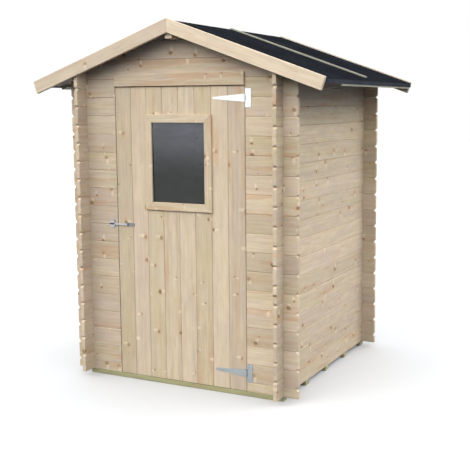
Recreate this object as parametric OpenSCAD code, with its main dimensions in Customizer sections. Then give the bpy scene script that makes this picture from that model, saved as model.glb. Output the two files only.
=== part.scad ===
// Wooden garden shed of notched planks: five treated bearers, four plank walls that interlock
// at the corners, a felted pitched roof with barge boards, and a ledged door with a window.
// Millimetres. X runs to the right, Y from front to back and Z up. The origin is on the ground
// under the middle of the shed, and the front with the door faces -Y.

/* [Walls] */
// Overall length of every wall plank, crossing ends included
plank_len = 1460; // [1360:10:2000]
// Height of one plank
plank_h = 105; // [95:1:120]
// Thickness of the wall planks
plank_t = 23; // [20:1:30]
// Length of the plank ends that run on past the crossing wall
plank_tail = 87; // [60:1:110]
// Whole courses of planks in each side wall
side_courses = 17; // [16:1:19]
// Strip above the last whole course of a side wall, at its outer face
crown_h = 9; // [4:1:20]
// Depth of the V groove along each joint between planks
groove_d = 3; // [1:0.5:5]
// Chamfer on the corners of each plank's end
end_chamfer = 11; // [4:1:15]
// Play between two planks at a notched corner
notch_play = 0.3; // [0.2:0.1:0.8]

/* [Base] */
// Height of the bearers
bearer_h = 27; // [20:1:60]
// Width of the bearers
bearer_w = 47; // [35:1:80]
// Thickness of the floor
floor_t = 16; // [12:1:24]
// Play between the floor and the walls
floor_play = 2; // [1:0.5:5]

/* [Roof] */
// Slope of the roof in degrees
roof_pitch = 19.5; // [15:0.5:25]
// Distance from the middle of the shed to each eave
eave_reach = 919; // [860:1:1100]
// Thickness of the roof boards
deck_t = 16; // [12:1:22]
// Thickness of the roofing felt
felt_t = 3; // [2:0.5:5]
// Play between the layers of the roof and under its boards
roof_play = 0.1; // [0.05:0.05:0.3]
// Drop of the felt where it is turned down over the eave
felt_flap = 24; // [20:1:30]
// Width of the strip under each eave
eave_strip_w = 40; // [25:1:60]
// Thickness of the strip under each eave
eave_strip_t = 16; // [10:1:22]
// Distance from the front end of the roof boards to the front end of the eave strips
eave_strip_setback = 230; // [50:10:400]
// Height of the barge boards, square to the slope
barge_h = 73; // [60:1:100]
// Thickness of the barge boards
barge_t = 20; // [15:1:28]
// Height of the barge boards above the felt
barge_rise = 7; // [3:1:15]
// Width of the ridge beam
ridge_w = 45; // [35:1:70]
// Depth of the ridge beam at its middle
ridge_h = 80; // [60:1:120]
// Width of the batten that holds the felt down on each slope
batten_w = 30; // [20:1:45]
// Thickness of that batten
batten_t = 8; // [5:1:15]
// Length of that batten, measured level from the ridge
batten_run = 870; // [500:10:880]
// Place of that batten behind the middle of the shed
batten_y = 12; // [-300:1:300]

/* [Door] */
// Width of the door leaf
door_w = 830; // [720:5:860]
// Wall left above the doorway, up to the outer top edge of the side walls
door_drop = 104; // [85:1:140]
// Gap around the door leaf
door_gap = 6; // [5:0.5:10]
// Gap between the closed leaf and the posts that stop it
stop_gap = 5; // [5:0.5:8]
// Width of the ledges on the back of the door
ledge_h = 90; // [70:1:100]
// Distance from the window's frame down to the middle ledge
ledge_drop = 53; // [20:1:100]
// Thickness of the ledges
ledge_t = 20; // [15:1:28]
// Clearance between the ends of the ledges and the door posts
ledge_gap = 10; // [8:1:30]
// Width of the door posts
post_w = 45; // [35:1:60]
// Depth of the door posts
post_d = 35; // [25:1:60]
// Overlap of the door posts behind the leaf's opening
stop_lap = 16; // [10:1:22]
// Height of the board over the doorway
head_trim_h = 72; // [50:1:80]
// Thickness of the board over the doorway
head_trim_t = 12; // [8:1:20]

/* [Window] */
// Width of the glass that shows
glass_w = 340; // [280:5:380]
// Height of the glass that shows
glass_h = 449; // [350:1:500]
// Width of the window frame's members
frame_w = 46; // [44:1:60]
// Thickness of the frame's members, outside and inside
frame_t = 12; // [8:1:18]
// Distance from the top of the leaf to the top of the frame
window_drop = 151; // [135:1:170]
// Thickness of the glass
pane_t = 4; // [3:0.5:6]
// Play between the glass and the boards around it
pane_play = 1; // [0.5:0.1:2]

/* [Hinges] */
// Thickness of the hinge and hasp sheet
sheet_t = 2.5; // [2:0.1:4]
// Length of the hinge straps from the pin
strap_len = 196; // [120:1:230]
// Height of the hinge straps at the pin
strap_root = 42; // [30:1:60]
// Height of the hinge straps at the tip
strap_tip = 12; // [8:1:25]
// Height of the hinge plates on the wall
plate_h = 100; // [70:1:105]
// Width of the hinge plates on the wall
plate_w = 35; // [25:1:60]
// Radius of the hinge barrels
barrel_r = 5.5; // [4.5:0.1:7]
// Radius of the hinge pins
pin_r = 2.5; // [2:0.1:3]
// Running clearance around the hinge pins
pin_play = 0.08; // [0.03:0.01:0.1]
// Gap beside the barrels
barrel_gap = 0.5; // [0.4:0.1:1]
// Distance from the top of the leaf to the middle of the upper hinge
upper_drop = 62; // [56:1:75]
// Distance from the bottom of the leaf to the middle of the lower hinge
lower_rise = 101; // [60:1:160]

/* [Hasp] */
// Height of the hasp's middle above the bottom of the leaf
hasp_rise = 891; // [840:1:900]
// Length of the hasp's plate on the door
hasp_plate = 48; // [40:1:80]
// Height of the hasp's plate and barrel
hasp_h = 20; // [18:1:30]
// Height of the hasp's strap
hasp_neck = 10; // [9:1:18]
// Width of the metal beside the slot in the strap's round eye
eye_wall = 5.5; // [4:0.5:8]
// Distance from the edge of the leaf to the hasp's barrel
hasp_inset = 63; // [40:1:90]
// Radius of the hasp's barrel
hasp_barrel_r = 5; // [4.8:0.1:8]
// Distance from the edge of the doorway to the middle of the staple
staple_inset = 33; // [20:1:40]
// Radius of the staple's wire
wire_r = 2.6; // [1.5:0.1:3]
// Radius of the staple's bend, to the middle of its wire
bail_r = 9; // [7:0.5:12]
// Length of the staple's straight legs
bail_leg = 18; // [12:1:20]
// Width of the staple's plate
staple_w = 34; // [26:1:36]
// Height of the staple's plate
staple_h = 48; // [30:1:60]
// Thickness of the staple's plate
staple_t = 2; // [1.5:0.1:3]
// Play between the staple and the hasp's slot
slot_play = 2.3; // [1.5:0.1:4]

/* [Hidden] */
$fn = 48;

spruce = "#dcc3a0";
spruce_light = "#ead6b4";
treated_wood = "#8b8a55";
felt_colour = "#23272f";
steel = "#b9c0c6";
glass_colour = "#3a4652";

// Overrun of every cut past the face that it leaves
overrun = 1;

// Faces and heights of the walls, which stand on the bearers
half_len = plank_len / 2;
wall_out = half_len - plank_tail;
wall_in = wall_out - plank_t;
wall_mid = wall_out - plank_t / 2;
wall_z = bearer_h;
side_h = side_courses * plank_h + crown_h;
half_course = plank_h / 2;

// Slope of the roof: its underside rises from the side walls' outer top edges to the ridge
slope = tan(roof_pitch);
plumb = 1 / cos(roof_pitch);
function roof_under(x) = wall_z + side_h + (wall_out - abs(x)) * slope;
deck_low = roof_play;
deck_top = deck_low + deck_t;
felt_low = deck_top + roof_play;
felt_top = felt_low + felt_t;
barge_top = felt_top + barge_rise;
eave_out = eave_reach + roof_play + felt_t;
ridge_z = roof_under(0) - ridge_h;
cross_seams = ceil(roof_under(0) / plank_h);

// Doorway, leaf and the seam above the doorway where the gable starts
open_w = door_w + 2 * door_gap;
open_h = side_h - door_drop;
leaf_h = open_h - 2 * door_gap;
leaf_t = plank_t - stop_gap;
leaf_z = wall_z + door_gap;
leaf_back = wall_out - leaf_t;
stub_h = (floor((open_h - half_course) / plank_h) + 1) * plank_h + half_course;
door_board_count = 8;
board_w = door_w / door_board_count;

// Window: the glass fills a hole four boards wide, behind the outer frame
hole_w = board_w * door_board_count / 2;
hole_lap = (hole_w - glass_w) / 2;
frame_out_w = glass_w + 2 * frame_w;
frame_out_h = glass_h + 2 * frame_w;
hole_h = glass_h + 2 * hole_lap;
window_z = leaf_z + leaf_h - window_drop - frame_out_h / 2;
middle_ledge_z = window_z - frame_out_h / 2 - ledge_drop - ledge_h / 2;

// Hinge axis: in the middle of the gap beside the leaf, in front of the wall
hinge_x = door_w / 2 + door_gap / 2;
hinge_y = -(wall_out + barrel_r + barrel_gap);
upper_z = leaf_z + leaf_h - upper_drop;
lower_z = leaf_z + lower_rise;
knuckle_share = 0.5;
knuckle_h = strap_root * knuckle_share - 2 * barrel_gap;
side_knuckle_h = strap_root * (1 - knuckle_share) / 2;
root_x = hinge_x - barrel_r - 3 * barrel_gap;
plate_x = open_w / 2;

// Hasp: its strap stands clear of the staple's plate and ends in a round eye over the staple
hasp_z = leaf_z + hasp_rise;
hasp_x = -door_w / 2 + hasp_inset;
hasp_out = 2 * hasp_barrel_r - barrel_gap;
staple_x = -(open_w / 2 + staple_inset);
slot_w = 2 * (bail_r + wire_r + slot_play);
slot_h = 2 * (wire_r + slot_play);
eye_r = slot_w / 2 + eye_wall;

// Outline in X and Z extruded along Y between two depths
module along_y(y0, y1) translate([0, y1, 0]) rotate([90, 0, 0]) linear_extrude(y1 - y0) children();

// Outline in Y and Z extruded along X between two places
module along_x(x0, x1) translate([x0, 0, 0]) rotate([90, 0, 90]) linear_extrude(x1 - x0) children();

// Upright rectangle from its lower left to its upper right corner
module panel(x0, z0, x1, z1) translate([x0, z0]) square([x1 - x0, z1 - z0]);

// Square notch on its corner, whose V reaches the given depth
module v_notch(x, z, depth) translate([x, z]) rotate(45) square(depth * sqrt(2), center = true);

// Slots at both ends of a wall for the planks that cross it, about each height of the list
module crossing_slots(heights)
    for (side = [-1, 1], z = heights)
        translate([side * wall_mid, z])
            square([plank_t + notch_play, half_course + notch_play], center = true);

// Chamfered plank ends at both ends of a wall: a V at each joint of the list
module end_notches(heights)
    for (side = [-1, 1], z = heights) v_notch(side * half_len, z, end_chamfer);

// Grooves along the joints of the list, on both faces of a wall
module face_grooves(near, far, heights)
    for (face = [near, far], z = heights) v_notch(face, z, groove_d);

side_seams = [for (k = [1 : side_courses - 1]) wall_z + k * plank_h];
side_slots = [for (k = [0 : side_courses]) wall_z + k * plank_h];
gable_seams = [for (k = [0 : cross_seams]) wall_z + half_course + k * plank_h];

// Right side wall: its courses start with a whole plank, and its top is bevelled to the roof
module side_wall() {
    intersection() {
        along_y(-half_len, half_len) difference() {
            polygon([
                [wall_in, wall_z], [wall_out, wall_z],
                [wall_out, roof_under(wall_out)], [wall_in, roof_under(wall_in)]
            ]);
            face_grooves(wall_in, wall_out, side_seams);
        }
        along_x(wall_in - overrun, wall_out + overrun) difference() {
            panel(-half_len, wall_z, half_len, roof_under(wall_in));
            crossing_slots(side_slots);
            end_notches(side_seams);
        }
    }
}

// Everything under the roof's slopes over the full length of a plank
module gable_outline() {
    polygon([
        [-half_len, wall_z], [half_len, wall_z],
        [half_len, roof_under(half_len)], [0, roof_under(0)], [-half_len, roof_under(half_len)]
    ]);
}

// Part of the front or rear wall between two places and heights, at the depths y0 to y1
module cross_wall(y0, y1, x0, z0, x1, z1) {
    intersection() {
        along_x(x0, x1) difference() {
            panel(y0, z0, y1, z1);
            face_grooves(y0, y1, gable_seams);
        }
        along_y(y0 - overrun, y1 + overrun) difference() {
            gable_outline();
            crossing_slots(gable_seams);
            end_notches(gable_seams);
            panel(-ridge_w / 2 - notch_play, ridge_z, ridge_w / 2 + notch_play, roof_under(0) + overrun);
        }
    }
}

module front_wall(x0, z0, x1, z1) color(spruce) cross_wall(-wall_out, -wall_in, x0, z0, x1, z1);

// Layer of a roof slope on the right: from n0 to n1 above its underside, plumb at both ends
module slope_layer(x0, x1, n0, n1) {
    polygon([
        [x0, roof_under(x0) + n0 * plumb], [x1, roof_under(x1) + n0 * plumb],
        [x1, roof_under(x1) + n1 * plumb], [x0, roof_under(x0) + n1 * plumb]
    ]);
}

// Right-hand piece as it is, or mirrored to the left
module on_side(side) if (side > 0) children(); else mirror([1, 0, 0]) children();

// One of the five bearers across the shed, counted from the front
bearer_names = ["front", "second", "middle", "fourth", "rear"];
bearer_pitch = (2 * wall_out - bearer_w) / (len(bearer_names) - 1);
module bearer(i) {
    color(treated_wood) translate([-wall_out, -wall_out + i * bearer_pitch, 0])
        cube([2 * wall_out, bearer_w, bearer_h]);
}

module floor_boards() {
    edge = wall_in - floor_play;
    color(spruce) translate([-edge, -edge, wall_z]) cube([2 * edge, 2 * edge, floor_t]);
}

module wall_at(side) color(spruce) on_side(side) side_wall();

module rear_wall()
    color(spruce) cross_wall(wall_in, wall_out, -half_len, wall_z, half_len, roof_under(0));

// Rail that closes the front wall between the doorway and the joint under the gable
module door_head() {
    color(spruce) along_y(-wall_out, -wall_in)
        panel(-open_w / 2, wall_z + open_h, open_w / 2, wall_z + stub_h);
}

// Board on the face of the wall over the doorway
module door_head_trim() {
    half_w = (open_w - door_gap) / 2;
    color(spruce_light) along_y(-wall_out - head_trim_t, -wall_out)
        panel(-half_w, wall_z + open_h, half_w, wall_z + open_h + head_trim_h);
}

// Post inside the front wall, whose inner edge stops the leaf
module door_post(side) {
    inner = open_w / 2 - stop_lap;
    color(spruce) on_side(side) translate([inner, -wall_in, wall_z + floor_t])
        cube([post_w, post_d, stub_h - floor_t]);
}

module ridge_beam() {
    half_w = ridge_w / 2;
    color(spruce_light) along_y(-half_len, half_len) polygon([
        [-half_w, ridge_z], [half_w, ridge_z],
        [half_w, roof_under(half_w)], [0, roof_under(0)], [-half_w, roof_under(half_w)]
    ]);
}

module roof_boards(side)
    color(spruce) on_side(side) along_y(-half_len, half_len) slope_layer(0, eave_reach, deck_low, deck_top);

// Felt on one slope, turned down over the end of the roof boards
module felt(side) {
    fold_z = roof_under(eave_out) + felt_top * plumb;
    color(felt_colour) on_side(side) along_y(-half_len, half_len) {
        slope_layer(0, eave_out, felt_low, felt_top);
        panel(eave_reach + roof_play, fold_z - felt_flap, eave_out, fold_z);
    }
}

module eave_strip(side) {
    color(spruce_light) on_side(side) along_y(-half_len + eave_strip_setback, half_len)
        slope_layer(eave_reach - eave_strip_w, eave_reach, -eave_strip_t, 0);
}

module roof_batten(side) {
    color(spruce_light) on_side(side) along_y(batten_y - batten_w / 2, batten_y + batten_w / 2)
        slope_layer(0, batten_run, felt_top + roof_play, felt_top + roof_play + batten_t);
}

// Barge board on one slope, mitred at the ridge and cut square to the slope at the eave
module barge(side, end) {
    low = (barge_top - barge_h) * plumb;
    high = barge_top * plumb;
    low_x = eave_out - barge_h * sin(roof_pitch);
    y0 = end > 0 ? half_len : -half_len - barge_t;
    color(spruce_light) on_side(side) along_y(y0, y0 + barge_t) polygon([
        [0, roof_under(0) + low], [low_x, roof_under(low_x) + low],
        [eave_out, roof_under(eave_out) + high], [0, roof_under(0) + high]
    ]);
}

// Sheet on the face of the front wall or of the leaf
module face_sheet() along_y(-wall_out - sheet_t, -wall_out) children();

// Fixed half of a T hinge: plate on the wall, its two knuckles and the pin
module hinge_plate(z) {
    color(steel) union() {
        face_sheet() difference() {
            union() {
                panel(plate_x, z - plate_h / 2, plate_x + plate_w, z + plate_h / 2);
                panel(hinge_x, z - strap_root / 2, plate_x + barrel_r, z + strap_root / 2);
            }
            translate([hinge_x, z])
                square([2 * (barrel_r + 2 * barrel_gap), knuckle_h + 2 * barrel_gap], center = true);
        }
        for (end = [-1, 1])
            translate([hinge_x, hinge_y, z + end * (strap_root - side_knuckle_h) / 2])
                cylinder(h = side_knuckle_h, r = barrel_r, center = true);
        translate([hinge_x, hinge_y, z]) cylinder(h = strap_root, r = pin_r, center = true);
    }
}

// Moving half of a T hinge: tapered strap on the leaf with the middle knuckle
module hinge_strap(z) {
    tip_r = strap_tip / 2;
    tip_x = hinge_x - strap_len + tip_r;
    color(steel) difference() {
        union() {
            face_sheet() {
                polygon([
                    [root_x, z - strap_root / 2], [root_x, z + strap_root / 2],
                    [tip_x, z + tip_r], [tip_x, z - tip_r]
                ]);
                translate([tip_x, z]) circle(tip_r);
                panel(root_x - overrun, z - knuckle_h / 2, hinge_x, z + knuckle_h / 2);
            }
            translate([hinge_x, hinge_y, z]) cylinder(h = knuckle_h, r = barrel_r, center = true);
        }
        translate([hinge_x, hinge_y, z])
            cylinder(h = knuckle_h + 2 * overrun, r = pin_r + pin_play, center = true);
    }
}

// Staple on the wall: a plate and a bent wire that stands out through the hasp
module staple() {
    color(steel) translate([staple_x, -wall_out, hasp_z]) union() {
        translate([-staple_w / 2, -staple_t, -staple_h / 2]) cube([staple_w, staple_t, staple_h]);
        for (side = [-1, 1])
            translate([side * bail_r, 0, 0]) rotate([90, 0, 0]) cylinder(h = bail_leg, r = wire_r);
        translate([0, -bail_leg, 0]) rotate([0, 0, 180])
            rotate_extrude(angle = 180) translate([bail_r, 0]) circle(wire_r);
    }
}

// Hasp on the leaf: plate, barrel and the narrow strap with its slotted eye over the staple
module hasp() {
    color(steel) union() {
        face_sheet() panel(hasp_x, hasp_z - hasp_h / 2, hasp_x + hasp_plate, hasp_z + hasp_h / 2);
        translate([hasp_x, -wall_out - hasp_barrel_r, hasp_z])
            cylinder(h = hasp_h, r = hasp_barrel_r, center = true);
        along_y(-wall_out - hasp_out, -wall_out - hasp_out + sheet_t) difference() {
            union() {
                panel(staple_x, hasp_z - hasp_neck / 2, hasp_x, hasp_z + hasp_neck / 2);
                translate([staple_x, hasp_z]) circle(eye_r);
            }
            translate([staple_x, hasp_z]) square([slot_w, slot_h], center = true);
        }
    }
}

// Boards of the leaf between two places and heights, with a V groove at each joint on both faces
module leaf_boards(x0, z0, x1, z1) {
    joints = [for (x = [x0 + board_w : board_w : x1 - board_w / 2]) x];
    color(spruce) translate([0, 0, z0]) linear_extrude(z1 - z0) difference() {
        translate([x0, -wall_out]) square([x1 - x0, leaf_t]);
        for (face = [-wall_out, -leaf_back], x = joints) v_notch(x, face, groove_d);
    }
}

// Ledge across the back of the leaf at the given height
module ledge(z) {
    half_w = open_w / 2 - stop_lap - ledge_gap;
    color(spruce) along_y(-leaf_back, -leaf_back + ledge_t)
        panel(-half_w, z - ledge_h / 2, half_w, z + ledge_h / 2);
}

// Member of the window frame with mitred ends, lying above the middle of an opening w by h
module mitred_member(w, h) {
    polygon([
        [-w / 2, h / 2], [w / 2, h / 2],
        [w / 2 + frame_w, h / 2 + frame_w], [-w / 2 - frame_w, h / 2 + frame_w]
    ]);
}

// Frame member on both faces of the leaf. The inner one has a tongue that holds the glass.
module frame_member(turn) {
    upright = turn % 180 != 0;
    w = upright ? glass_h : glass_w;
    h = upright ? glass_w : glass_h;
    color(spruce_light) translate([0, 0, window_z]) {
        along_y(-wall_out - frame_t, -wall_out) rotate(turn) mitred_member(w, h);
        along_y(-leaf_back, -leaf_back + frame_t) rotate(turn) mitred_member(w, h);
        along_y(-wall_out + pane_t, -leaf_back) intersection() {
            rotate(turn) mitred_member(w, h);
            square([hole_w - 2 * pane_play, hole_h - 2 * pane_play], center = true);
        }
    }
}

module window_pane() {
    color(glass_colour, 0.6) translate([0, 0, window_z]) along_y(-wall_out, -wall_out + pane_t)
        square([hole_w - 2 * pane_play, hole_h - 2 * pane_play], center = true);
}

leaf_top = leaf_z + leaf_h;
leaf_edge = door_w / 2;

bearer(0);  // front_bearer
bearer(1);  // second_bearer
bearer(2);  // middle_bearer
bearer(3);  // fourth_bearer
bearer(4);  // rear_bearer
floor_boards();
wall_at(-1);  // left_wall
wall_at(1);  // right_wall
rear_wall();
front_wall(-half_len, wall_z, -open_w / 2, wall_z + stub_h);  // front_wall_left
front_wall(open_w / 2, wall_z, half_len, wall_z + stub_h);  // front_wall_right
front_wall(-half_len, wall_z + stub_h, half_len, roof_under(0));  // front_gable
door_head();
door_head_trim();
door_post(-1);  // left_door_post
door_post(1);  // right_door_post
ridge_beam();
roof_boards(-1);  // left_roof_boards
roof_boards(1);  // right_roof_boards
felt(-1);  // left_felt
felt(1);  // right_felt
eave_strip(-1);  // left_eave_strip
eave_strip(1);  // right_eave_strip
roof_batten(-1);  // left_roof_batten
roof_batten(1);  // right_roof_batten
barge(-1, -1);  // front_left_barge
barge(1, -1);  // front_right_barge
barge(-1, 1);  // rear_left_barge
barge(1, 1);  // rear_right_barge
hinge_plate(upper_z);  // upper_hinge_plate
hinge_plate(lower_z);  // lower_hinge_plate
staple();
leaf_boards(-leaf_edge, leaf_z, -hole_w / 2, leaf_top);  // door_boards_left
leaf_boards(hole_w / 2, leaf_z, leaf_edge, leaf_top);  // door_boards_right
leaf_boards(-hole_w / 2, window_z + hole_h / 2, hole_w / 2, leaf_top);  // door_boards_top
leaf_boards(-hole_w / 2, leaf_z, hole_w / 2, window_z - hole_h / 2);  // door_boards_bottom
ledge(upper_z);  // top_ledge
ledge(middle_ledge_z);  // middle_ledge
ledge(lower_z);  // bottom_ledge
frame_member(0);  // window_head
frame_member(90);  // window_left_stile
frame_member(180);  // window_sill
frame_member(270);  // window_right_stile
window_pane();
hinge_strap(upper_z);  // upper_hinge_strap
hinge_strap(lower_z);  // lower_hinge_strap
hasp();
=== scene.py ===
# %% [markdown]
# # A garden shed of notched planks
# The shed stands on green treated bearers. Its four walls are planks that lock into each other at the
# corners, its roof is boarded and felted, and its door is a ledged leaf with a window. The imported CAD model
# gives every place and size. This lesson dresses it board by board, so that each piece of wood has its own
# edges and grain.

# %% Load the frame
import math

import bmesh
import bpy
import numpy as np
from mathutils import Matrix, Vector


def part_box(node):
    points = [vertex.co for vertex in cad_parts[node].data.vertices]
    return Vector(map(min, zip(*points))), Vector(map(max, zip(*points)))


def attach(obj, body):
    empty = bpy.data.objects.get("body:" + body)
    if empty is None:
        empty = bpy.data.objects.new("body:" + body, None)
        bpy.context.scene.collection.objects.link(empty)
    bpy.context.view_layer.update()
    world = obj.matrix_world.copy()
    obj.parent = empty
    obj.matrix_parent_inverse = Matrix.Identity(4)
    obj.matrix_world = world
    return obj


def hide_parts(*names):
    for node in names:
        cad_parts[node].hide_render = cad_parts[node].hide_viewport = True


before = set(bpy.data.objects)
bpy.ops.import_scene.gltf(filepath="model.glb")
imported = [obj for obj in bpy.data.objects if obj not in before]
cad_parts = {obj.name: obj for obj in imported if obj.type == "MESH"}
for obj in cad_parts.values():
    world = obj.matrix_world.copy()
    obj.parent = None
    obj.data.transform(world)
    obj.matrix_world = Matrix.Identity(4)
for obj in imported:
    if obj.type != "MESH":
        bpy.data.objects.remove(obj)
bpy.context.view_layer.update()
rng = np.random.default_rng(17)

# %% [markdown]
# ## Sizes
# A maker reads the few sizes that rule the rest from the finished frame: the wall faces, the height of one
# plank and the slope of the roof. Measuring them here, and not typing them again, keeps the looks on the
# solids when the frame is packed anew.


# %% Sizes read from the frame
def corners(node):
    """Lowest and highest corner of a CAD node, as numpy arrays."""
    low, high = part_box(node)
    return np.array(low), np.array(high)


STUB_COURSES = 16.5
side_low, side_high = corners("right_wall")
wall_in, wall_out, half_len = side_low[0], side_high[0], side_high[1]
wall_z, wall_top = side_low[2], side_high[2]
plank_t = wall_out - wall_in
stub_top = corners("front_wall_left")[1][2]
plank_h = (stub_top - wall_z) / STUB_COURSES
ridge_top = corners("ridge_beam")[1][2]
slope = (ridge_top - wall_top) / wall_in
pitch = math.atan(slope)
open_half = corners("front_wall_right")[0][0]
print(f"planks {plank_h:.4f} by {plank_t:.4f} m, roof pitch {math.degrees(pitch):.2f} degrees")


# %% The line of the roof
def roof_under(x):
    """Height of the roof's underside at a distance x from the middle: a straight fall from the ridge."""
    return ridge_top - slope * np.abs(x)


def roof_reach(z):
    """Distance from the middle at which the roof's underside is z high: the same line read the other way."""
    return (ridge_top - z) / slope


print(f"ridge {ridge_top:.3f} m, roof line over the side walls {roof_under(wall_out):.3f} m")

# %% [markdown]
# ## Boards as lofts
# Nearly everything here is a straight board. A board could be a scaled cube with a Bevel modifier, but then
# it would carry no record of its own grain. So a board is an outline carried along its length: at each
# station a rectangle with eased corners, which may grow narrower for a notch or a chamfer. Whole sets of
# boards are worked out at once as one array of the shape boards, stations, outline points, 3.

# %% Outline of a board
# Each outline point takes the lower, middle or upper edge across the board, and the near or far face.
EDGE_SHARE = np.array([0, 0.5, 1, 1, 1, 1, 0.5, 0, 0, 0])
EASE_ACROSS = np.array([1, 0, -1, 0, 0, -1, 0, 1, 0, 0])
FACE_SHARE = np.array([0, 0, 0, 0, 1, 1, 1, 1, 1, 0])
EASE_THROUGH = np.array([0, 0, 0, 1, -1, 0, 0, 0, -1, 1])
print("outline of a board:", len(EDGE_SHARE), "points")


# %% Rings along boards
def board_rings(origin, along, across, stations, low, high, thick, ease,
                lean=0.0, slant=0.0, thin=0.0, middle=None):
    """Rings of points along a set of boards, with the grain coordinates of each point.

    A point is origin + along * s + across * w + through * t. The outline runs round the rectangle from low
    to high in w and from 0 to thick in t, with its corners cut by ease. lean lifts the upper edge by a share
    of t, slant moves a station by a share of w, thin draws both faces in, and middle is the height of the
    two points between the edges. The arrays have the shape boards, stations.
    """
    stations, low, high = np.broadcast_arrays(*(np.atleast_2d(a) for a in (stations, low, high)))
    along, across = np.array(along, float), np.array(across, float)
    through = np.cross(along, across)
    thin = np.broadcast_to(thin, stations.shape)[..., None]
    low, high = low[..., None], high[..., None]
    t = thin + FACE_SHARE * (thick - 2 * thin) + EASE_THROUGH * ease
    middle = (low + high) / 2 if middle is None else np.clip(np.reshape(middle, (-1, 1, 1)), low, high)
    lean = np.broadcast_to(lean, stations.shape)[..., None]
    edge = np.where(EDGE_SHARE == 0, low, np.where(EDGE_SHARE == 1, high + lean * t, middle))
    w = edge + EASE_ACROSS * ease
    s = stations[..., None] + np.broadcast_to(slant, stations.shape)[..., None] * w
    origin = np.reshape(origin, (-1, 1, 1, 3))
    points = origin + s[..., None] * along + w[..., None] * across + t[..., None] * through
    centre = (low.min(1, keepdims=True) + high.max(1, keepdims=True)) / 2
    grain = np.stack([s, w - centre, t - thick / 2], -1)
    return points, grain


def plain_boards(origin, along, across, start, end, low, high, thick, ease, end_ease=None, slant=0.0):
    """Plain boards from start to end. Over the last end_ease, faces and edges are drawn in by as much."""
    end_ease = ease if end_ease is None else end_ease
    stations = np.array([start, start + end_ease, end - end_ease, end])
    drawn = np.array([end_ease, 0, 0, end_ease])
    return board_rings(origin, along, across, stations, low + drawn, high - drawn, thick, ease,
                       slant=slant, thin=drawn)


ALONG_X, ALONG_Y, ALONG_Z = (1, 0, 0), (0, 1, 0), (0, 0, 1)
END_EASE = 0.001
sample = plain_boards((0, 0, 0), ALONG_X, ALONG_Y, 0, 1, 0, plank_h, plank_t, END_EASE)[0]
print("a plain board has", sample.shape[1], "rings")

# %% From rings to an object
MERGE_DIST = 1e-6


def loft_faces(count, rings, points, start=0):
    """Faces of a set of lofts: quads between each ring and the next, and one face over each end.

    Point p of ring r in loft c has the number start + (c * rings + r) * points + p.
    """
    ring, point = np.meshgrid(np.arange(rings - 1), np.arange(points), indexing="ij")
    here, beside = ring * points + point, ring * points + (point + 1) % points
    quads = np.stack([here, beside, beside + points, here + points], -1).reshape(1, -1, 4)
    first = np.arange(points)[::-1].reshape(1, 1, -1)
    last = (rings - 1) * points + np.arange(points).reshape(1, 1, -1)
    step = start + (np.arange(count) * rings * points).reshape(-1, 1, 1)
    return [f for part in (quads, first, last) for f in (part + step).reshape(-1, part.shape[2]).tolist()]


def stand(name, data):
    """New object at the origin that shows the data."""
    thing = bpy.data.objects.new(name, data)
    bpy.context.scene.collection.objects.link(thing)
    return thing


def make_mesh(name, sets, **attributes):
    """Mesh object of sets of lofts, its doubles merged and its empty faces gone.

    Each attribute holds three numbers for every point of every set.
    """
    faces, start = [], 0
    for rings in sets:
        faces += loft_faces(*rings.shape[:3], start)
        start += rings[..., 0].size
    mesh = bpy.data.meshes.new(name)
    mesh.from_pydata(np.concatenate([rings.reshape(-1, 3) for rings in sets]).tolist(), [], faces)
    for key, parts in attributes.items():
        values = np.concatenate([part.reshape(-1, 3) for part in parts])
        layer = mesh.attributes.new(key, "FLOAT_VECTOR", "POINT")
        layer.data.foreach_set("vector", values.astype(np.float32).ravel())
    shape = bmesh.new()
    shape.from_mesh(mesh)
    bmesh.ops.remove_doubles(shape, verts=shape.verts, dist=MERGE_DIST)
    bmesh.ops.dissolve_degenerate(shape, edges=shape.edges, dist=MERGE_DIST)
    shape.to_mesh(mesh)
    shape.free()
    return stand(name, mesh)


print("a plain board has", len(loft_faces(1, 4, len(EDGE_SHARE))), "faces")

# %% From boards to a piece
ANY_BOARDS = (0.85, 1, 1)


def fit_piece(piece, finish, slot, body, *nodes):
    """Gives a piece its finish and its body, and lets it stand for CAD nodes; slot is not used."""
    piece.data.materials.append(finish)
    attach(piece, body)
    if nodes:
        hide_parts(*nodes)


def wood_piece(name, groups, wood, body, *nodes, draws=None, most=ANY_BOARDS):
    """One piece of several sets of boards, each with three draws: hue, strength of stains and lightness.

    They are random, up to the most that the piece allows, or given for the boards of a set.
    """
    sets, grains = zip(*groups)
    boards = []
    for rings in sets:
        own = rng.random((len(rings), 3)) * most if draws is None else np.array(draws)
        boards.append(np.broadcast_to(own[:, None, None, :], rings.shape))
    piece = make_mesh(name, sets, grain=grains, board=boards)
    print(f"{name}: {sum(map(len, sets))} boards, {len(piece.data.polygons)} faces")
    fit_piece(piece, wood["finish"], wood["slot"], body, *nodes)


print("boards draw their hue, stains and lightness up to", ANY_BOARDS)

# %% [markdown]
# ## A short hand for shader nodes
# A finish is a tree of nodes. Writing each node and link out takes many lines, so a small class keeps the
# tree and offers the few calls that all finishes share: sums, noise, ranges and blends of colour.


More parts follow.
